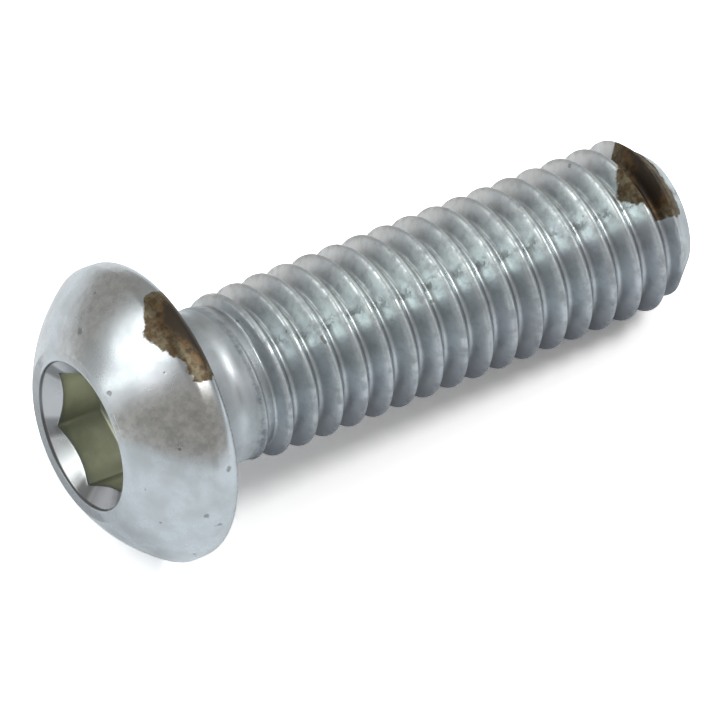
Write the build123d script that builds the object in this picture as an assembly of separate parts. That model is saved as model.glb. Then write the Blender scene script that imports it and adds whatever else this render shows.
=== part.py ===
from build123d import *
import math
import os

# A dome head machine screw, M6 x 1, 20 mm under the head, with a hexagon socket.
# It lies on its side as it comes to rest, on the rim of its head and its last full thread.

# thread
thread_diameter = 6.0
pitch = 1.0
flank_angle = 60.0              # between the two sides of the groove
crest_flat = pitch / 8
root_flat = pitch / 6
shank_length = 20.0             # from the face under the head to the end
end_chamfer = 1.05              # along the axis
end_diameter = 4.1

# plain neck under the head
neck_diameter = 5.5
neck_length = 2.2
neck_flare = 0.25               # where the neck meets the face under the head
run_out = 1.3 * pitch           # in this length the groove reaches its full depth

# head
head_diameter = 10.5
head_height = 3.15
land_diameter = 6.1             # flat top around the socket
rim_height = 1.0                # the rim's straight side and its eased lower edge
rim_ease_height = 0.5           # the lower edge is eased in two steps, to this height
rim_ease_width = 0.5

# hexagon socket
key_width = 4.0                 # across flats
key_depth = 2.1
key_corner = 0.12
key_turn = -7.0                 # degrees from the side that faces up to a corner
mouth_diameter = 5.1
floor_drop = 0.35               # shallow cone in the floor of the socket

# The screw is built upright: its axis is Z, the face under the head is at Z = 0, the end is up,
# and its X side is the one that faces up once it lies.
thread_radius = thread_diameter / 2
neck_radius = neck_diameter / 2
head_radius = head_diameter / 2
key_radius = key_width / 2
groove_depth = (pitch - crest_flat - root_flat) / 2 / math.tan(math.radians(flank_angle / 2))
root_radius = thread_radius - groove_depth
groove_start = neck_length - 1.4 * pitch
full_thread_end = shank_length - end_chamfer


def turned(outline):
    """Solid turned about the screw's axis from its half outline (radius, height)."""
    return revolve(Plane.XZ * outline, Axis.Z)


def dome_arc(rim, land):
    """Arc from rim to land whose centre is on the screw's axis, so that the dome is part of a sphere."""
    centre = (rim[0] ** 2 + rim[1] ** 2 - land[0] ** 2 - land[1] ** 2) / (2 * (rim[1] - land[1]))
    radius = math.hypot(rim[0], rim[1] - centre)
    half_way = (math.atan2(rim[1] - centre, rim[0]) + math.atan2(land[1] - centre, land[0])) / 2
    top = (radius * math.cos(half_way), centre + radius * math.sin(half_way))
    return ThreePointArc(rim, top, land)


def blank_outline():
    land = (land_diameter / 2, -head_height)
    rim = (head_radius, -rim_height)
    shank = Polyline(
        rim,
        (head_radius, -rim_ease_height),
        (head_radius - 0.25 * rim_ease_width, -0.25 * rim_ease_height),
        (head_radius - rim_ease_width, 0),
        (neck_radius + neck_flare, 0),
        (neck_radius, neck_flare),
        (neck_radius, neck_length),
        (thread_radius, neck_length + 0.8 * pitch),
        (thread_radius, full_thread_end),
        (end_diameter / 2, shank_length),
        (0, shank_length),
        (0, -head_height),
        land,
    )
    return make_face([shank, dome_arc(rim, land)])


def run_out_cone():
    """Metal that the groove rises out of towards the neck."""
    slope = (neck_radius - root_radius) / run_out
    low = neck_length - 3 * pitch
    high = neck_length + run_out + 0.2 * pitch
    return turned(make_face(Polyline(
        (0, low),
        (neck_radius + slope * (neck_length - low), low),
        (neck_radius - slope * (high - neck_length), high),
        (0, high),
        close=True,
    )))


def groove_turns():
    """The space between the thread's crests: one turn of the helix after another."""
    clear = 0.15
    reach = groove_depth + clear
    inner = root_flat / 2
    outer = inner + reach * math.tan(math.radians(flank_angle / 2))
    section = Polyline(
        (root_radius, -inner),
        (root_radius + reach, -outer),
        (root_radius + reach, outer),
        (root_radius, inner),
        close=True,
    )
    helix = Edge.make_helix(pitch, pitch, thread_radius)
    turn = sweep(Plane.XZ * make_face(section), path=helix, is_frenet=True)
    cone = run_out_cone()
    count = math.ceil((shank_length - groove_start) / pitch)
    turns = [Pos(0, 0, groove_start + i * pitch) * turn for i in range(count)]
    first = [t - cone for t in turns[:4]]
    return [t for t in first if t.volume > 0] + turns[4:]


def socket():
    """Space for the hexagon key, with its countersunk mouth and shallow conical floor."""
    base = (Align.CENTER, Align.CENTER, Align.MIN)
    hexagon = RegularPolygon(key_radius, 6, major_radius=False, rotation=key_turn)
    hexagon = fillet(hexagon.vertices(), key_corner)
    mouth_depth = mouth_diameter / 2 - key_radius + 0.1
    key = extrude(hexagon, key_depth)
    key += Cone(mouth_diameter / 2, key_radius - 0.1, mouth_depth, align=base)
    key += Pos(0, 0, key_depth) * Cone(key_radius - 0.05, 0.2, floor_drop, align=base)
    return Pos(0, 0, -head_height) * key


def lying(screw):
    """Lays the screw down, touching the floor with the head's rim and the last full crest."""
    turns = math.floor((full_thread_end - crest_flat / 2 - groove_start) / pitch)
    last_crest = groove_start + turns * pitch + crest_flat / 2
    tilt = math.atan2(head_radius - thread_radius, last_crest + rim_ease_height)
    height = thread_radius * math.cos(tilt) + last_crest * math.sin(tilt)
    bed = Plane(
        origin=(0, 0, height),
        x_dir=(math.sin(tilt), 0, math.cos(tilt)),
        z_dir=(math.cos(tilt), 0, -math.sin(tilt)),
    )
    laid = bed.location * screw
    return Pos(-laid.bounding_box().center().X, 0, 0) * laid


blank = turned(blank_outline())
screw = lying(blank - groove_turns() - socket())

os.makedirs("parts", exist_ok=True)
export_step(screw, "parts/dome_head_screw.step")
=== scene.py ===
import math

import bpy
import numpy as np
from mathutils import Matrix, Vector


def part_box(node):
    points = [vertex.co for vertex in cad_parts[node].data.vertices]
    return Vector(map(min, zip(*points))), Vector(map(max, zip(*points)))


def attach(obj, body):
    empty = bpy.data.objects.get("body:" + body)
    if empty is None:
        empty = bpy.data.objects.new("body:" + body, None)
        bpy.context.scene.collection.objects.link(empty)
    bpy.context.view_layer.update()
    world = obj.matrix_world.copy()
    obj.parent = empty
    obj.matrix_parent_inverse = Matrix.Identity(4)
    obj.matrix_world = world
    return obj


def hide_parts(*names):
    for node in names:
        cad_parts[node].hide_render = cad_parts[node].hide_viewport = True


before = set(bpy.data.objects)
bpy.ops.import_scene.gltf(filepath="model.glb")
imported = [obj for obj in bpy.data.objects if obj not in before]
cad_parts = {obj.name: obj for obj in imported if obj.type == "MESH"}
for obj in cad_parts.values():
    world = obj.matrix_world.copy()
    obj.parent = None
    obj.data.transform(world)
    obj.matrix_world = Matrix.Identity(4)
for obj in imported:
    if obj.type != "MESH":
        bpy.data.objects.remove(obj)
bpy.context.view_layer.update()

millimetre = 0.001

# The screw. Sizes are in millimetres, and along its axis they start at the face under the head.
screw = {
    "node": "dome_head_screw",
    "threadDiameter": 6.0,
    "pitch": 1.0,
    "crestFlat": 0.125,
    "rootFlat": 0.167,
    "flankAngle": 60.0,
    "grooveStart": 0.8,
    "threadAdvance": -0.2,       # the thread is turned this far along its own helix
    "turnsToFull": 3,            # turns of the thread until it is fully formed
    "crestRounding": 0.042,      # how far the rolled edges of the thread are softened
    "seamDepth": 0.034,          # the fine fold that rolling leaves along the first crests
    "seamWidth": 0.07,
    "seamStart": 1.7,
    "seamFadeIn": 0.4,
    "shankLength": 20.0,
    "endChamfer": 1.05,
    "endDiameter": 4.1,
    "endEase": 0.03,
    "neckDiameter": 5.5,
    "neckLength": 2.2,
    "neckFlare": 0.25,
    "neckWaist": 1.8,            # where the neck is thinnest
    "neckWidening": 0.22,        # and how much it grows from there to the head
    "neckGrowth": 1.1,           # in this many pitches the neck grows to the thread's diameter
    "runOut": 1.3,               # in this length the groove reaches its full depth
    "runOutBlend": 0.08,         # how softly the groove rises out of the neck
    "crestBlend": 0.06,          # and how softly the crests meet the neck and the chamfer
    "headDiameter": 10.5,
    "headHeight": 3.15,
    "landDiameter": 6.1,         # the flat top around the socket
    "landSoftening": 0.004,      # radians of the dome left out beside the land
    "rimSoftening": 0.02,        # and beside the rim
    "rimHeight": 1.0,
    "rimEase": 0.5,
    "rimTaper": 0.012,
    "topInset": 0.002,           # how far the land stays inside the solid
    "faceInset": 0.01,           # and the eased edge and the face under the head
    "keyWidth": 4.0,
    "keyDepth": 2.1,
    "keyCorner": 0.12,
    "keyTurn": -7.0,             # degrees from the side that faces up to a corner
    "keyEase": 0.03,             # rounding of the edge between wall and countersink
    "mouthDiameter": 5.32,
    "mouthEase": 0.045,
    "mouthStep": 0.11,           # depth of the small step around the countersink
    "mouthStepWidth": 0.03,
    "mouthSlope": 0.70,          # drop of the countersink for each millimetre inwards
    "floorDrop": 0.35,
    "columnsPerSide": 24,        # mesh columns for each side of the hexagon
    "rowsPerPitch": 22,
    "rowsPerPitchAtNeck": 30,
    "closeRowsLead": 0.3,        # the closer rows start this far before the neck ends
    "domeRows": 40,
    "sharpAngle": 50,
}


def softMin(a, b, width):
    # the lower of two heights, blended over a short width
    mix = np.clip(0.5 + 0.5 * (b - a) / width, 0, 1)
    return b * (1 - mix) + a * mix - width * mix * (1 - mix)


def softMax(a, b, width):
    return -softMin(-a, -b, width)


def smoothStep(low, high, value):
    share = np.clip((value - low) / (high - low), 0, 1)
    return share * share * (3 - 2 * share)


def columnAngles(size):
    # closer together at the hexagon's corners, so that one set of columns serves the whole screw
    count = size["columnsPerSide"]
    step = np.arange(count) / count
    side = step - 0.5 * np.sin(2 * np.pi * step) / (2 * np.pi)
    sides = np.arange(6)[:, None] + side[None, :]
    return np.radians(size["keyTurn"] + 60.0 * sides.ravel())


def fromKeyCorner(size, around):
    # degrees to the nearest corner of the hexagon
    return (np.degrees(around) - size["keyTurn"] + 30) % 60 - 30


def hexagonRadius(size, around):
    # distance from the axis to the wall of the key socket, with its corners rounded
    flat = size["keyWidth"] / 2
    corner = size["keyCorner"]
    halfSide = math.radians(30)
    fromCorner = np.radians(fromKeyCorner(size, around))
    wall = flat / np.cos(halfSide - np.abs(fromCorner))
    centre = (flat - corner) / math.cos(halfSide)
    inside = np.maximum(corner ** 2 - (centre * np.sin(fromCorner)) ** 2, 0)
    rounded = centre * np.cos(fromCorner) + np.sqrt(inside)
    edge = math.atan2(corner * math.sin(halfSide), centre + corner * math.cos(halfSide))
    return np.where(np.abs(fromCorner) < edge, rounded, wall)


def threadProfile(size):
    # one pitch of the thread, from crest to crest, with softened edges
    pitch = size["pitch"]
    slope = 1 / math.tan(math.radians(size["flankAngle"] / 2))
    samples = 400                          # for each half pitch
    place = np.linspace(-pitch, pitch, 4 * samples + 1)
    fromRoot = np.abs((place + pitch / 2) % pitch - pitch / 2)
    rise = np.clip(fromRoot - size["rootFlat"] / 2, 0, None) * slope
    full = (pitch - size["crestFlat"] - size["rootFlat"]) / 2 * slope
    height = np.minimum(rise, full)
    kernel = np.exp(-0.5 * (place / size["crestRounding"]) ** 2)
    kernel = kernel / kernel.sum()
    soft = np.convolve(height, kernel, mode="same")
    middle = slice(samples, 3 * samples + 1)
    soft = soft[middle] - soft[middle].max()
    return place[middle], soft


def neckRadius(size, along):
    fromWaist = np.clip(1 - along / size["neckWaist"], 0, 1)
    return size["neckDiameter"] / 2 + size["neckWidening"] * fromWaist ** 2


def shankRadius(size, around, along):
    # radius of the shank and how deep the point lies in the thread's groove, 0 to 1
    pitch = size["pitch"]
    outer = size["threadDiameter"] / 2
    neck = size["neckDiameter"] / 2
    place, height = threadProfile(size)
    start = size["grooveStart"] + size["threadAdvance"]
    phase = (along - start - pitch * around / (2 * np.pi)) / pitch
    fromGroove = (phase + 0.5) % 1 - 0.5
    fromCrest = (0.5 - np.abs(fromGroove)) * pitch
    groove = outer + np.interp(fromGroove * pitch, place, height)

    # the neck grows to the thread's diameter, and the groove rises out of it along a cone
    pastNeck = along - size["neckLength"]
    full = np.clip(pastNeck / (size["turnsToFull"] * pitch), 0, 1)
    slope = (neck - (outer + height.min())) / size["runOut"]
    cone = neck - slope * pastNeck
    grown = smoothStep(0, size["neckGrowth"] * pitch, pastNeck)
    blank = neckRadius(size, along) + (outer - neck) * grown
    radius = softMin(blank, softMax(groove, cone, size["runOutBlend"]), size["crestBlend"])

    fadeIn = np.clip((along - size["seamStart"]) / size["seamFadeIn"], 0, 1)
    seam = size["seamDepth"] * (1 - full) * fadeIn
    radius = radius - seam * np.exp(-(fromCrest / size["seamWidth"]) ** 2)

    fullEnd = size["shankLength"] - size["endChamfer"]
    chamfer = outer + (size["endDiameter"] / 2 - outer) * (along - fullEnd) / size["endChamfer"]
    radius = softMin(radius, chamfer, size["crestBlend"])
    radius = np.minimum(radius, outer)
    formed = np.clip(full * 4, 0, 1)       # the first turns count less and less as groove
    depth = np.clip((outer - groove) / -height.min(), 0, 1) * formed
    return radius, depth


def arcRows(centre, radius, start, end, count):
    # points of an arc (radius from the axis, place along it), angles in degrees
    angles = np.radians(np.linspace(start, end, count))
    return [(centre[0] + radius * math.cos(a), centre[1] + radius * math.sin(a)) for a in angles]


def headBall(size):
    # the sphere that the dome is part of: where its middle is on the axis, and its radius
    rim = size["headDiameter"] / 2
    land = size["landDiameter"] / 2
    side, top = -size["rimHeight"], -size["headHeight"]
    middle = (rim ** 2 + side ** 2 - land ** 2 - top ** 2) / (2 * (side - top))
    return middle, math.hypot(rim, side - middle)


def headOutline(size):
    # half outline of the head, from the socket's mouth over the dome and rim to the neck
    rim = size["headDiameter"] / 2
    land = size["landDiameter"] / 2
    mouth = size["mouthDiameter"] / 2 + size["mouthEase"]
    top, side = -size["headHeight"] + size["topInset"], -size["rimHeight"]
    points = [(mouth + (land - mouth) * share, top) for share in (0.2, 0.45, 0.7, 0.9, 0.98, 1.0)]
    middle, ball = headBall(size)
    first = math.asin(land / ball) + size["landSoftening"]
    last = math.asin(rim / ball) - size["rimSoftening"]
    for turn in np.linspace(first, last, size["domeRows"]):
        points.append((ball * math.sin(turn), middle - ball * math.cos(turn)))
    drops = (0.06, 0.16, 0.28)             # rows of the rim's straight side
    for drop in drops:
        points.append((rim - size["rimTaper"] * (drops[-1] - drop), side + drop))
    ease, inset = size["rimEase"], size["faceInset"]
    points += arcRows((rim - ease, -ease), ease - inset, 0, 90, 9)
    flare = size["neckFlare"]
    neck = float(neckRadius(size, flare))
    for share in (0.3, 0.6):
        points.append((rim - ease + (neck + flare - rim + ease) * share, -inset))
    points += arcRows((neck + flare, flare), flare, 270, 180, 7)
    return points


def sinkRadius(size):
    # outer radius of the countersink, where the small step around it begins
    return size["mouthDiameter"] / 2 - size["mouthStepWidth"]


def socketRows(size, around):
    # rings from the middle of the socket's floor up its walls and out over the countersink
    wall = hexagonRadius(size, around)
    flat = np.ones_like(wall)
    top = -size["headHeight"]
    floor = top + size["keyDepth"]
    rows = []
    for share in (0.15, 0.4, 0.7, 0.9, 0.985):
        rows.append((wall * share, flat * floor + size["floorDrop"] * (1 - share) * 1.03))
    rows.append((wall * 0.998, flat * (floor - 0.015)))
    ring = sinkRadius(size)
    sink = top + size["mouthStep"]         # height of the countersink's outer and inner edges
    edge = sink + (ring - wall) * size["mouthSlope"]
    for share in (0.06, 0.2, 0.4, 0.6, 0.8, 0.94):
        rows.append((wall, floor + (edge - floor) * share))
    soft = size["keyEase"]
    rows.append((wall, edge + soft * 1.2))
    rows.append((wall + 0.22 * soft, edge + 0.3 * soft))
    rows.append((wall + soft, edge - 0.45 * soft))
    for share in (0.3, 0.55, 0.8, 0.95, 1.0):
        rows.append((wall + (ring - wall) * share, edge + (sink - edge) * share))
    # the step: outwards from the countersink, and how far below the top
    for out, below in ((0.010, 0.08), (0.022, 0.045), (0.032, 0.020), (0.046, 0.006), (0.064, 0.0)):
        rows.append((flat * (ring + out), flat * (top + below)))
    return rows


def shankRows(size, around):
    # rings down the shank, closer together where the thread begins
    close = size["pitch"] / size["rowsPerPitchAtNeck"]
    wide = size["pitch"] / size["rowsPerPitch"]
    start = size["neckLength"] - size["closeRowsLead"]
    end, ease = size["shankLength"], size["endEase"]
    neck = np.linspace(size["neckFlare"], start, 7)[1:]
    early = start + np.arange(1, size["turnsToFull"] * size["rowsPerPitchAtNeck"] + 1) * close
    late = np.arange(early[-1] + wide, end - ease, wide)
    rows = []
    for along in np.concatenate([neck, early, late]):
        place = np.full_like(around, along)
        radius, depth = shankRadius(size, around, place)
        rows.append((radius, place, depth))
    last, depth = shankRadius(size, around, np.full_like(around, end))
    rows.append((last - ease, np.full_like(around, end - 0.4 * ease), depth))
    for share in (0.95, 0.75, 0.45, 0.2):
        rows.append(((last - ease) * share, np.full_like(around, end), depth * 0))
    return rows


def lyingMatrix(size):
    # the screw's own frame to the lying one: it rests on the head's rim and its last full crest
    outer = size["threadDiameter"] / 2
    fullEnd = size["shankLength"] - size["endChamfer"]
    half = size["crestFlat"] / 2
    turns = math.floor((fullEnd - half - size["grooveStart"]) / size["pitch"])
    crest = size["grooveStart"] + turns * size["pitch"] + half
    tilt = math.atan2(size["headDiameter"] / 2 - outer, crest + size["rimEase"])
    down, flat = math.sin(tilt), math.cos(tilt)
    _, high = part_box(size["node"])
    endX = size["shankLength"] * flat + size["endDiameter"] / 2 * down
    startX = high.x / millimetre - endX
    height = outer * flat + crest * down
    return Matrix((
        (down, 0, flat, startX),
        (0, -1, 0, 0),
        (flat, 0, -down, height),
        (0, 0, 0, 1),
    ))


def placeOn(size, along, degrees):
    # where a point of the screw's outside lies in the scene, in metres
    around = math.radians(degrees)
    middle, ball = headBall(size)
    if along < -size["rimHeight"]:
        radius = math.sqrt(ball ** 2 - (middle - along) ** 2)
    elif along < 0:
        radius = size["headDiameter"] / 2
    else:
        radius = float(shankRadius(size, np.array([around]), np.array([along]))[0][0])
    point = Vector((radius * math.cos(around), radius * math.sin(around), along))
    return lyingMatrix(size) @ point * millimetre


# Where the screw is stained, worn and dirty, and where light and shade are painted on it: around it
# in degrees from the side that faces up, and along it in millimetres. A pair is where something
# begins and where it is full, two pairs are a band with two soft edges.
wearAndPaintedLight = {
    # stain on the rim: degrees, and how far up the head it reaches there
    "rimStain": ((-12, 0.0), (-5, -1.0), (3, -1.4), (9, -1.75), (13, -1.55), (20, -1.35),
                 (27, -1.05), (36, -0.95), (42, 0.0)),
    "rimStainSides": (-6, 36),
    "rimStainInner": 4.2,        # radius from which it marks the face under the head
    # stain near the end: degrees, and where it starts along the thread
    "endStain": ((-34, 19.2), (-30, 18.5), (-3, 18.0), (16, 17.6), (30, 18.1), (43, 18.5),
                 (48, 19.4)),
    "endStainSides": (-33, 45),
    "endStainFirst": 17,
    "endStainLast": 19.62,
    "endStainSharpness": 1.6,    # how sharply it stops there
    # duller bands on the dome, tarnish with painted shade, and how far round the near one goes at
    # each radius
    "dullNear": (24, 40),
    "dullNearLast": ((3.1, 50), (4.3, 60), (5.1, 64)),
    "dullFar": ((-48, -30), (0, -16)),
    "dullFarShare": 0.75,
    "dullBack": ((-44, -62), (-150, -115)),
    "dullBackShare": 0.4,
    "dullHeight": (-0.3, -0.6),
    "dullRadius": (2.6, 3.0),
    # the thread's underside with painted shade, strip with a painted highlight, side with a painted
    # warm reflection and strip with painted dark reflections in the grooves
    "underShadeTurn": (72, 125),
    "underShadeStart": (1.9, 2.6),
    "glintTurn": ((-30, 16), (42, 36)),
    "glintStart": (2.4, 5.0),
    "warmTurn": ((-12, -42), (-165, -140)),
    "warmStart": (2.0, 3.0),
    "darkReflectionTurn": ((20, 24), (32, 28)),
    "darkReflectionStart": (2.6, 4.0),
    "threadStart": (1.2, 2.4),
    # the neck: dull, with painted shade towards the head, and a polished ring near the thread
    "neckBand": ((0.0, 0.1), (2.6, 2.2)),
    "neckShade": (1.6, 0.5),
    "ringPlace": 1.7,
    "ringWidth": 0.15,
    # painted light and shade on the countersink's sides: degrees, and 0 bright to 1 dull
    "sinkShade": ((0, 0.3), (100, 0.3), (125, 0.9), (160, 0.9), (178, 0.0), (228, 0.0),
                  (240, 0.6), (285, 0.6), (300, 0.3), (360, 0.3)),
    # painted shade in the corners of the socket and of its countersink
    "cornerShadeReach": (17, 3),     # degrees from a corner of the hexagon
    "cornerShadeShare": 0.8,
}


def degreesFromTop(around):
    return np.degrees((around + np.pi) % (2 * np.pi) - np.pi)


def within(value, first, last):
    # 1 between two soft edges
    return smoothStep(*first, value) * smoothStep(*last, value)


def curveThrough(value, points):
    # the line through the given points, read at a value
    return np.interp(value, *zip(*points))


def sideDepth(turn, sides, radius):
    # millimetres to the nearer of two sides, below 0 outside them
    return np.radians(np.minimum(turn - sides[0], sides[1] - turn)) * radius


def stainDepth(places, turn, along, radius):
    # how far inside a stain a point lies, in millimetres, below 0 outside
    rim = along - curveThrough(turn, places["rimStain"])
    rim = np.minimum(rim, sideDepth(turn, places["rimStainSides"], radius))
    rim = np.where((along < 0.05) & (radius > places["rimStainInner"]), rim, -1.0)
    end = along - curveThrough(turn, places["endStain"])
    end = np.minimum(end, sideDepth(turn, places["endStainSides"], radius))
    end = np.minimum(end, places["endStainSharpness"] * (places["endStainLast"] - along))
    end = np.where(along > places["endStainFirst"], end, -1.0)
    return np.maximum(np.clip(rim, -1, 1), np.clip(end, -1, 1))


def tarnishAndShadeShare(places, turn, along, radius):
    # duller, mottled bands on the dome, tarnish with painted shade: on both sides of the part that
    # faces up, and behind
    last = curveThrough(radius, places["dullNearLast"])
    near = within(turn, places["dullNear"], (last + 5, last - 5))
    far = within(turn, *places["dullFar"]) * places["dullFarShare"]
    back = within(turn, *places["dullBack"]) * places["dullBackShare"]
    dome = smoothStep(*places["dullHeight"], along) * smoothStep(*places["dullRadius"], radius)
    return (near + far + back) * dome


def sinkShare(size, around, along, radius):
    # the socket's countersink, between its walls and the step around it
    wall = hexagonRadius(size, around)
    ring = sinkRadius(size)
    deepest = -size["headHeight"] + size["keyDepth"] * 0.4     # below that are only the walls
    return within(radius, (wall, wall + 0.01), (ring + 0.01, ring - 0.01)) * (along < deepest)


def stepShare(size, along, radius):
    # the small step around the socket's countersink
    ring = sinkRadius(size)
    top = -size["headHeight"]
    near = within(radius, (ring - 0.02, ring), (ring + 0.10, ring + 0.05))
    return near * smoothStep(top, top + 0.03, along) * (along < 0)


def cornerShare(size, places, around):
    # the corners of the key socket, where shade is painted
    fromCorner = np.abs(fromKeyCorner(size, around))
    return smoothStep(*places["cornerShadeReach"], fromCorner) * places["cornerShadeShare"]


def crownHeight(size, along, radius):
    # the flat land is worn round: its shading follows the dome's sphere on to the mouth
    middle, ball = headBall(size)
    mouth = size["mouthDiameter"] / 2
    land = size["landDiameter"] / 2
    sphere = middle - np.sqrt(ball ** 2 - np.clip(radius, mouth, land) ** 2)
    return np.where(along < 0, -size["headHeight"] - sphere, 0.0)


def wearAndPaintedLightLayers(size, places, around, along, radius):
    # for the rings, and for the points in the middle of the socket's floor and of the end
    turn = degreesFromTop(around)
    shadedUnder = smoothStep(*places["underShadeTurn"], np.abs(turn)) * smoothStep(*places["underShadeStart"], along)
    paintedGlint = within(turn, *places["glintTurn"]) * smoothStep(*places["glintStart"], along)
    warmReflection = within(turn, *places["warmTurn"]) * smoothStep(*places["warmStart"], along)
    darkReflected = within(turn, *places["darkReflectionTurn"]) * smoothStep(*places["darkReflectionStart"], along)
    ring = (along - places["ringPlace"]) / places["ringWidth"]
    return {
        "stain": (stainDepth(places, turn, along, radius), -1, -1),
        "tarnishAndShade": (tarnishAndShadeShare(places, turn, along, radius), 0, 0),
        "sink": (sinkShare(size, around, along, radius), 0, 0),
        "shade": (curveThrough(np.degrees(around) % 360, places["sinkShade"]), 0, 0),
        "step": (stepShare(size, along, radius), 0, 0),
        "corner": (cornerShare(size, places, around), 0, 0),
        "crown": (crownHeight(size, along, radius), 0, 0),
        "neck": (within(along, *places["neckBand"]), 0, 0),
        "root": (smoothStep(*places["neckShade"], along) * (along > 0), 0, 0),
        "polish": (np.exp(-ring ** 2), 0, 0),
        "thread": (smoothStep(*places["threadStart"], along), 0, 1),
        "under": (shadedUnder, 0, 0),
        "glintBand": (paintedGlint, 0, 0),
        "warmReflection": (warmReflection, 0, 0),
        "darkReflectionBand": (darkReflected, 0, 0),
    }


def screwRings(size, around):
    # radius, place along the axis, depth in the groove and depth in the socket of each ring
    none = np.zeros(len(around))
    wall = hexagonRadius(size, around) + 0.002         # a hair outside the socket's walls
    rings = []
    for radius, along in socketRows(size, around):
        shut = np.clip((along + size["headHeight"]) / size["keyDepth"], 0, 1)
        rings.append((radius, along, none, np.where(radius < wall, shut, 0.0)))
    for radius, along in headOutline(size):
        rings.append((none + radius, none + along, none, none))
    for radius, along, depth in shankRows(size, around):
        rings.append((radius, along, depth, none))
    return [np.array(part) for part in zip(*rings)]


def ringFaces(rows, count):
    # faces between the rings, and fans around the points that close both ends
    faces = []
    for row in range(rows - 1):
        here, there = row * count, (row + 1) * count
        for column in range(count):
            beside = (column + 1) % count
            faces.append((here + column, here + beside, there + beside, there + column))
    floor, end, lastRow = rows * count, rows * count + 1, (rows - 1) * count
    for column in range(count):
        beside = (column + 1) % count
        faces.append((floor, beside, column))
        faces.append((end, lastRow + column, lastRow + beside))
    return faces


def makeScrew(size, places):
    around = columnAngles(size)
    radius, along, groove, socket = screwRings(size, around)
    turn = np.broadcast_to(around, radius.shape)
    points = np.stack([radius * np.cos(turn), radius * np.sin(turn), along], axis=-1).reshape(-1, 3)
    floor = (0, 0, -size["headHeight"] + size["keyDepth"] + size["floorDrop"])
    end = (0, 0, size["shankLength"])
    points = np.vstack([points, [floor, end]])
    lay = np.array(lyingMatrix(size))
    points = points @ lay[:3, :3].T + lay[:3, 3]
    points[:, 2] = np.maximum(points[:, 2], 0.0)       # nothing sinks into the table
    mesh = bpy.data.meshes.new("zincScrew")
    mesh.from_pydata((points * millimetre).tolist(), [], ringFaces(*radius.shape))
    layers = {"groove": (groove, 0, 0), "socket": (socket, 1, 0)}
    layers.update(wearAndPaintedLightLayers(size, places, turn, along, radius))
    for name, (rings, atFloor, atEnd) in layers.items():
        layer = mesh.attributes.new(name, "FLOAT", "POINT")
        values = np.append(rings.ravel(), [atFloor, atEnd])
        layer.data.foreach_set("value", values.astype(np.float32))
    mesh.shade_smooth()
    mesh.set_sharp_from_angle(angle=math.radians(size["sharpAngle"]))
    mesh.update()
    made = bpy.data.objects.new("zincScrew", mesh)
    bpy.context.scene.collection.objects.link(made)
    return made


class shaderNet:
    # short calls for adding and linking shader nodes
    def __init__(self, owner):
        owner.use_nodes = True
        self.tree = owner.node_tree
        self.tree.nodes.clear()

    def add(self, kind, inputs=None, **settings):
        node = self.tree.nodes.new(kind)
        for name, value in settings.items():
            setattr(node, name, value)
        for name, value in (inputs or {}).items():
            self.give(node.inputs[name], value)
        return node

    def give(self, socket, value):
        if isinstance(value, bpy.types.NodeSocket):
            self.tree.links.new(value, socket)
        else:
            socket.default_value = value

    def math(self, operation, a, b=0.0, clamp=False):
        node = self.add("ShaderNodeMath", operation=operation, use_clamp=clamp)
        self.give(node.inputs[0], a)
        self.give(node.inputs[1], b)
        return node.outputs[0]

    def times(self, a, b):
        return self.math("MULTIPLY", a, b)

    def plus(self, a, b):
        return self.math("ADD", a, b)

    def mix(self, share, a, b):
        node = self.add("ShaderNodeMix", data_type="RGBA", blend_type="MIX")
        self.give(node.inputs[0], share)
        self.give(node.inputs[6], a)
        self.give(node.inputs[7], b)
        return node.outputs[2]

    def band(self, value, low, high, toLow=0.0, toHigh=1.0):
        node = self.add("ShaderNodeMapRange", {"Value": value, "From Min": low, "From Max": high,
                                               "To Min": toLow, "To Max": toHigh},
                        interpolation_type="SMOOTHSTEP")
        return node.outputs["Result"]

    def noise(self, place, featureSize, detail, rough, seed, warp=0.0):
        node = self.add("ShaderNodeTexNoise", {
            "Vector": place, "W": seed, "Scale": 1 / (featureSize * millimetre),
            "Detail": detail, "Roughness": rough, "Distortion": warp}, noise_dimensions="4D")
        return node.outputs["Fac"]

    def attribute(self, name):
        return self.add("ShaderNodeAttribute", attribute_name=name).outputs["Fac"]

    def spot(self, place, centre, size, ragged):
        # 1 inside a small round mark with a ragged edge, 0 outside; size in millimetres
        node = self.add("ShaderNodeVectorMath", operation="DISTANCE")
        self.give(node.inputs[0], place)
        self.give(node.inputs[1], centre)
        wander = self.times(self.math("SUBTRACT", ragged, 0.5), 1.4 * size * millimetre)
        reach = self.plus(node.outputs["Value"], wander)
        return self.band(reach, 1.15 * size * millimetre, 0.6 * size * millimetre)
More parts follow.
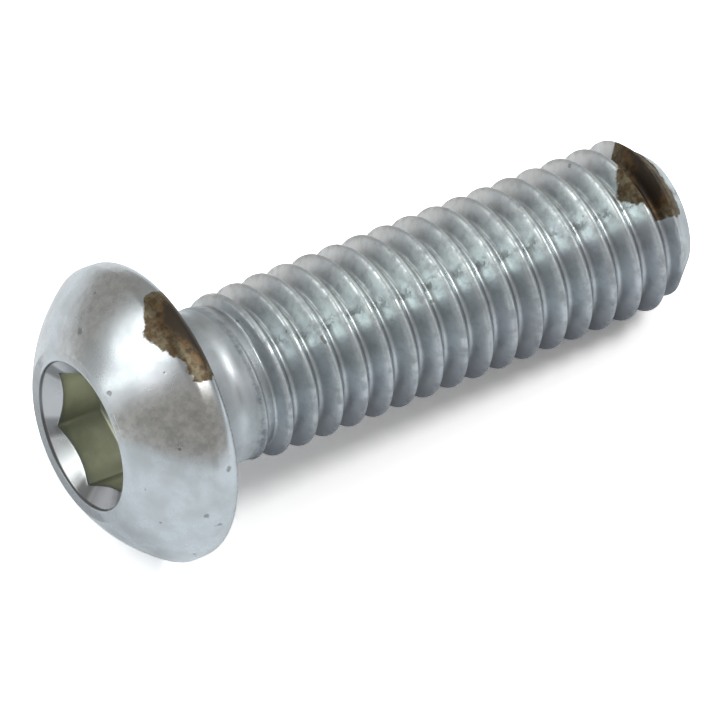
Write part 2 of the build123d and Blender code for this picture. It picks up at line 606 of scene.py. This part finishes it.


# The zinc plate, what has marked it, and the light and shade painted on it. Sizes are in
# millimetres.
zinc = {
    "paleTint": (0.500, 0.545, 0.570, 1),
    "deepTint": (0.425, 0.460, 0.475, 1),
    "mauveTint": (0.475, 0.480, 0.525, 1),
    # tarnish colours, which also paint shade on the dome beside the highlight and behind
    "tarnishAndShadePale": (0.560, 0.560, 0.548, 1),
    "tarnishAndShadeDeep": (0.385, 0.392, 0.385, 1),
    "socketTint": (0.650, 0.665, 0.560, 1),
    "socketDeepTint": (0.390, 0.405, 0.335, 1),
    # painted shade just inside the socket's walls
    "socketEdgeShade": (0.340, 0.360, 0.350, 1),
    # painted light and painted shade for the countersink's sides
    "sinkPaintedLight": (0.650, 0.690, 0.700, 1),
    "sinkPaintedShade": (0.290, 0.285, 0.300, 1),
    # painted shade on the step around the countersink, and in its corners
    "stepShadeTint": (0.170, 0.175, 0.180, 1),
    # painted warm reflection on one side of the thread
    "warmReflectionTint": (0.570, 0.555, 0.535, 1),
    # painted highlight strip along the thread
    "glintTint": (0.680, 0.750, 0.750, 1),
    # dirt flecks on the thread, and painted shade on the neck and in the grooves
    "grimeAndShadeTint": (0.200, 0.215, 0.230, 1),
    # painted shade on the thread's underside
    "underShadeTint": (0.225, 0.240, 0.265, 1),
    # pits, and painted dark reflections in the grooves
    "pitAndReflectionTint": (0.090, 0.095, 0.090, 1),
    "stainBrown": (0.080, 0.052, 0.024, 1),
    "stainRust": (0.118, 0.070, 0.028, 1),
    "stainDark": (0.036, 0.027, 0.017, 1),
    "stainOlive": (0.155, 0.132, 0.082, 1),

    # patterns: size, detail, roughness, seed, and how much the pattern is warped
    "clouds": (1.1, 4, 0.55, 1.0, 0.4),
    "mauveClouds": (2.53, 2, 0.5, 4.0),
    "mottles": (0.30, 5, 0.7, 6.0),
    "socketFilm": (0.9, 4, 0.6, 14.0),
    "flecks": (0.34, 5, 0.65, 13.0),
    "markEdges": (0.09, 2, 0.5, 8.0),
    "pits": (0.45, 1, 0.5, 9.0),
    "darkReflections": (0.34, 3, 0.6, 11.0),
    "stainEdges": (0.5, 5, 0.65, 2.0),
    "stainSpeckles": (0.30, 4, 0.65, 3.0),
    "grain": (0.10, 4, 0.6, 5.0),
    "waves": (0.7, 2, 0.5, 7.0),
    "crumbs": (0.16, 3, 0.7, 12.0),

    # how strongly each shows
    "mauveShare": 0.5,
    "filmShare": 0.5,
    "sinkCornerShare": 0.85,
    "warmShare": 0.75,
    "neckShadeShare": 0.55,
    "glintShare": (0.35, 0.95),   # in its dullest and its brightest flecks
    "grimeShare": 0.30,
    "grooveShade": (0.08, 0.80),  # in the grooves on top and underneath
    "pitShare": 0.55,
    "stainWander": 0.7,          # how far the edges of the stains wander
    "stainDullness": 0.4,

    "roughness": (0.25, 0.33),
    "stainRoughness": 0.16,      # these are added to it
    "socketRoughness": 0.15,
    "threadRoughness": 0.12,
    "crestRoughness": 0.28,
    "neckRoughness": 0.38,
    "ringPolish": 1.08,          # share of the neck's that its polished ring loses

    # relief: how deep the finest of it is, its strength, and each kind's share
    "reliefDepth": 0.02,
    "reliefStrength": 0.35,
    "grainRelief": 0.10,
    "waveRelief": 0.6,
    "pitRelief": 0.8,
    "crumbRelief": 0.12,
    "threadCrumbRelief": 0.5,

    # small marks: place along the axis, degrees around it from the top, size
    "marks": (
        (-0.55, 70, 0.11), (-1.30, 90, 0.10), (-3.03, 20, 0.10), (-2.65, -22, 0.14),
        (-1.9, 58, 0.07), (-2.4, 101, 0.06), (-1.2, 118, 0.07), (0.8, 62, 0.08),
        (17.3, -22, 0.16), (16.9, -26, 0.10),
    ),
}


def zincMaterial(look, size):
    material = bpy.data.materials.new("zincPlate")
    net = shaderNet(material)
    place = net.add("ShaderNodeTexCoord").outputs["Object"]
    groove = net.attribute("groove")
    socket = net.attribute("socket")
    corner = net.attribute("corner")
    thread = net.attribute("thread")
    under = net.attribute("under")

    # cloudy patches, as bright zinc has
    cloud = net.noise(place, *look["clouds"])
    colour = net.mix(net.band(cloud, 0.36, 0.66), look["paleTint"], look["deepTint"])
    tint = net.noise(place, *look["mauveClouds"])
    colour = net.mix(net.band(tint, 0.5, 0.72, 0, look["mauveShare"]), colour, look["mauveTint"])

    # duller mottled bands on the dome: tarnish, with painted shade
    mottle = net.noise(place, *look["mottles"])
    dull = net.mix(net.band(mottle, 0.32, 0.68), look["tarnishAndShadePale"], look["tarnishAndShadeDeep"])
    colour = net.mix(net.attribute("tarnishAndShade"), colour, dull)

    # the socket: painted shade just inside its walls, olive further down, with painted shade in the
    # corners
    film = net.band(net.noise(place, *look["socketFilm"]), 0.40, 0.66, 0, look["filmShare"])
    inside = net.mix(film, look["socketTint"], look["socketDeepTint"])
    # painted shade in the socket's corners
    inside = net.mix(corner, inside, look["socketDeepTint"])
    inside = net.mix(net.band(socket, 0.20, 0.38), look["socketEdgeShade"], inside)
    colour = net.mix(net.band(socket, 0.0, 0.10), colour, inside)

    # its countersink, with painted light and shade on its sides and painted shade in its corners,
    # and the painted shade on the step around that
    sink = net.mix(net.attribute("shade"), look["sinkPaintedLight"], look["sinkPaintedShade"])
    # painted shade in the countersink's corners
    cornerShade = net.band(corner, 0.35, 0.8, 0, look["sinkCornerShare"])
    sink = net.mix(cornerShade, sink, look["stepShadeTint"])
    colour = net.mix(net.attribute("sink"), colour, sink)
    # painted shade on the step
    colour = net.mix(net.attribute("step"), colour, look["stepShadeTint"])

    # the neck and the thread: mottled, with a painted warm reflection on one side, painted shade on
    # the neck towards the head, a painted highlight strip, dirty flecks, and painted shade
    # underneath and in the grooves
    # a painted warm reflection on one side of the thread
    warmReflection = net.times(net.attribute("warmReflection"), look["warmShare"])
    colour = net.mix(warmReflection, colour, look["warmReflectionTint"])
    # painted shade on the neck towards the head
    neckShade = net.times(net.attribute("root"), look["neckShadeShare"])
    colour = net.mix(neckShade, colour, look["grimeAndShadeTint"])
    fleck = net.noise(place, *look["flecks"])
    # a painted highlight strip along the thread, broken into flecks
    glintBand = net.times(net.attribute("glintBand"), net.band(fleck, 0.66, 0.34, *look["glintShare"]))
    colour = net.mix(glintBand, colour, look["glintTint"])
    spoiled = net.times(net.band(fleck, 0.44, 0.70), net.band(thread, 0.85, 1.0))
    colour = net.mix(net.times(spoiled, look["grimeShare"]), colour, look["grimeAndShadeTint"])
    # painted shade underneath, and more of it in the grooves underneath
    colour = net.mix(under, colour, look["underShadeTint"])
    shadedGroove = net.band(under, 0.0, 1.0, *look["grooveShade"])
    shadedGroove = net.times(net.band(groove, 0.45, 1.0), shadedGroove)
    colour = net.mix(shadedGroove, colour, look["grimeAndShadeTint"])

    # small dark marks and pits, and painted dark reflections in the grooves
    pits = net.band(net.noise(place, *look["pits"]), 0.74, 0.78)
    # painted dark reflections in the grooves beside the highlight strip
    darkReflections = net.band(net.noise(place, *look["darkReflections"]), 0.46, 0.54)
    darkReflections = net.times(darkReflections, net.attribute("darkReflectionBand"))
    darkReflections = net.times(darkReflections, net.band(groove, 0.15, 0.5))
    # from here the pits also hold the painted dark reflections
    pits = net.math("MAXIMUM", pits, darkReflections)
    ragged = net.noise(place, *look["markEdges"])
    for along, degrees, width in look["marks"]:
        mark = net.spot(place, placeOn(size, along, degrees), width, ragged)
        pits = net.math("MAXIMUM", pits, mark)
    colour = net.mix(net.times(pits, look["pitShare"]), colour, look["pitAndReflectionTint"])

    # brown stains with a ragged edge, darker and redder further in
    ragged = net.math("SUBTRACT", net.noise(place, *look["stainEdges"]), 0.5)
    depth = net.plus(net.attribute("stain"), net.times(ragged, look["stainWander"]))
    stained = net.band(depth, 0.0, 0.10)
    speckle = net.noise(place, *look["stainSpeckles"])
    outer = net.mix(net.band(speckle, 0.40, 0.60), look["stainBrown"], look["stainOlive"])
    inner = net.mix(net.band(speckle, 0.36, 0.62), look["stainDark"], look["stainRust"])
    stain = net.mix(net.band(depth, 0.35, 0.65), outer, inner)
    stain = net.mix(net.band(depth, 0.68, 0.95), stain, look["stainDark"])
    colour = net.mix(stained, colour, stain)

    # gloss
    rough = net.band(cloud, 0.3, 0.7, *look["roughness"])
    rough = net.plus(rough, net.times(stained, look["stainRoughness"]))
    rough = net.plus(rough, net.times(socket, look["socketRoughness"]))
    rough = net.plus(rough, net.times(thread, look["threadRoughness"]))
    crest = net.times(net.band(groove, 0.35, 0.0), net.band(fleck, 0.40, 0.58))
    crest = net.times(crest, net.band(thread, 0.85, 1.0, 0, look["crestRoughness"]))
    rough = net.plus(rough, crest)
    polish = net.times(net.attribute("polish"), look["ringPolish"])
    neck = net.math("SUBTRACT", net.attribute("neck"), polish)
    rough = net.plus(rough, net.times(neck, look["neckRoughness"]))
    metal = net.math("SUBTRACT", 1.0, net.times(stained, look["stainDullness"]))

    # relief: the land's crown, and the fine unevenness on top of it
    crown = net.add("ShaderNodeBump", {"Height": net.attribute("crown"), "Strength": 1.0,
                                       "Distance": millimetre})
    grain = net.times(net.noise(place, *look["grain"]), look["grainRelief"])
    relief = net.plus(grain, net.times(net.noise(place, *look["waves"]), look["waveRelief"]))
    relief = net.math("SUBTRACT", relief, net.times(pits, look["pitRelief"]))
    coarse = net.plus(look["crumbRelief"], net.times(thread, look["threadCrumbRelief"]))
    relief = net.plus(relief, net.times(net.noise(place, *look["crumbs"]), coarse))
    bump = net.add("ShaderNodeBump", {"Height": relief, "Strength": look["reliefStrength"],
                                      "Distance": look["reliefDepth"] * millimetre,
                                      "Normal": crown.outputs["Normal"]})
    shader = net.add("ShaderNodeBsdfPrincipled", {
        "Base Color": colour, "Metallic": metal, "Roughness": rough,
        "Normal": bump.outputs["Normal"]})
    net.add("ShaderNodeOutputMaterial", {"Surface": shader.outputs["BSDF"]})
    return material


zincScrew = makeScrew(screw, wearAndPaintedLight)
print("screw made:", len(zincScrew.data.polygons), "faces")
zincScrew.data.materials.append(zincMaterial(zinc, screw))
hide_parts("dome_head_screw")
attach(zincScrew, "root")
print("zinc plate made")

# The table, the room and the lamps.
studio = {
    "tableSize": 1.6,            # metres
    "tableColour": (0.80, 0.80, 0.80, 1),
    "tableInMetal": (1.20, 1.25, 1.30, 1),     # as the metal's reflections show it
    "tableSeen": (2.00, 2.00, 2.00, 1),        # as the eye sees it: white but for the shadow
    "roomAmbient": 0.40,
    "roomReflected": 0.45,
    "roomSeen": 1.0,
    "roomTint": (1.0, 0.975, 0.94, 1),
    "roomSeenTint": (1, 1, 1, 1),
    "lampDistance": 0.25,
    "lamps": {
        # name: azimuth, elevation, width, height, radiance
        "bigSoftbox": (159, 44, 0.205, 0.165, 2.3),
        "lowSoftbox": (165, 17, 0.060, 0.090, 2.2),
        "smallSoftbox": (-31, 51, 0.07, 0.08, 14.0),
        "topSoftbox": (15, 55, 0.20, 0.16, 0.7),
    },
}


def directionTo(azimuth, elevation):
    turn, rise = math.radians(azimuth), math.radians(elevation)
    return Vector((math.cos(turn) * math.cos(rise), math.sin(turn) * math.cos(rise), math.sin(rise)))


def rayKinds(net):
    # 1 where metal or glass shows a thing, and 1 where the eye sees it straight
    ray = net.add("ShaderNodeLightPath")
    mirrored = net.math("ADD", ray.outputs["Is Glossy Ray"], ray.outputs["Is Transmission Ray"],
                        clamp=True)
    return mirrored, ray.outputs["Is Camera Ray"]


def makeTable(look):
    half = look["tableSize"] / 2
    mesh = bpy.data.meshes.new("paleTable")
    corners = [(-half, -half, 0), (half, -half, 0), (half, half, 0), (-half, half, 0)]
    mesh.from_pydata(corners, [], [(0, 1, 2, 3)])
    table = bpy.data.objects.new("paleTable", mesh)
    bpy.context.scene.collection.objects.link(table)
    material = bpy.data.materials.new("palePaper")
    net = shaderNet(material)
    mirrored, seen = rayKinds(net)
    colour = net.mix(mirrored, look["tableColour"], look["tableInMetal"])
    colour = net.mix(seen, colour, look["tableSeen"])
    paper = net.add("ShaderNodeBsdfDiffuse", {"Color": colour})
    net.add("ShaderNodeOutputMaterial", {"Surface": paper.outputs["BSDF"]})
    mesh.materials.append(material)
    return table


def makeRoom(look):
    world = bpy.data.worlds.new("softRoom")
    bpy.context.scene.world = world
    net = shaderNet(world)
    mirrored, seen = rayKinds(net)
    glow = net.band(mirrored, 0.0, 1.0, look["roomAmbient"], look["roomReflected"])
    glow = net.band(seen, 0.0, 1.0, glow, look["roomSeen"])
    tint = net.mix(seen, look["roomTint"], look["roomSeenTint"])
    sky = net.add("ShaderNodeBackground", {"Color": tint, "Strength": glow})
    net.add("ShaderNodeOutputWorld", {"Surface": sky.outputs["Background"]})


def makeLamps(look):
    for name, (azimuth, elevation, width, height, radiance) in look["lamps"].items():
        lamp = bpy.data.lights.new(name, "AREA")
        lamp.shape = "ELLIPSE"
        lamp.size = width
        lamp.size_y = height
        area = math.pi / 4 * width * height
        lamp.energy = radiance * math.pi * area
        holder = bpy.data.objects.new(name, lamp)
        away = directionTo(azimuth, elevation)
        holder.location = away * look["lampDistance"]
        holder.rotation_euler = (-away).to_track_quat("-Z", "Y").to_euler()
        bpy.context.scene.collection.objects.link(holder)


# The camera: its right-hand direction, how far it looks down, and where it stands, in metres.
camera = {
    "right": (0.84663533, -0.53217348, 0.0),
    "elevation": 49.327,
    "place": (-0.2101247, -0.3336557, 0.4612190),
    "lens": 894.92,              # millimetres
    "sensor": 36,
    "clip": (0.01, 10),
}


def makeCamera(look):
    right = Vector(look["right"]).normalized()
    rise = math.radians(look["elevation"])
    level = Vector((right.y, -right.x, 0))
    back = level * math.cos(rise) + Vector((0, 0, math.sin(rise)))
    up = back.cross(right)
    data = bpy.data.cameras.new("studioCamera")
    data.sensor_width = look["sensor"]
    data.lens = look["lens"]
    data.clip_start, data.clip_end = look["clip"]
    eye = bpy.data.objects.new("studioCamera", data)
    turn = Matrix((right, up, back)).transposed()
    eye.matrix_world = Matrix.Translation(Vector(look["place"])) @ turn.to_4x4()
    bpy.context.scene.collection.objects.link(eye)
    bpy.context.scene.camera = eye


paleTable = makeTable(studio)
makeRoom(studio)
makeLamps(studio)
makeCamera(camera)
bpy.context.scene.view_settings.view_transform = "Standard"
print("studio ready")
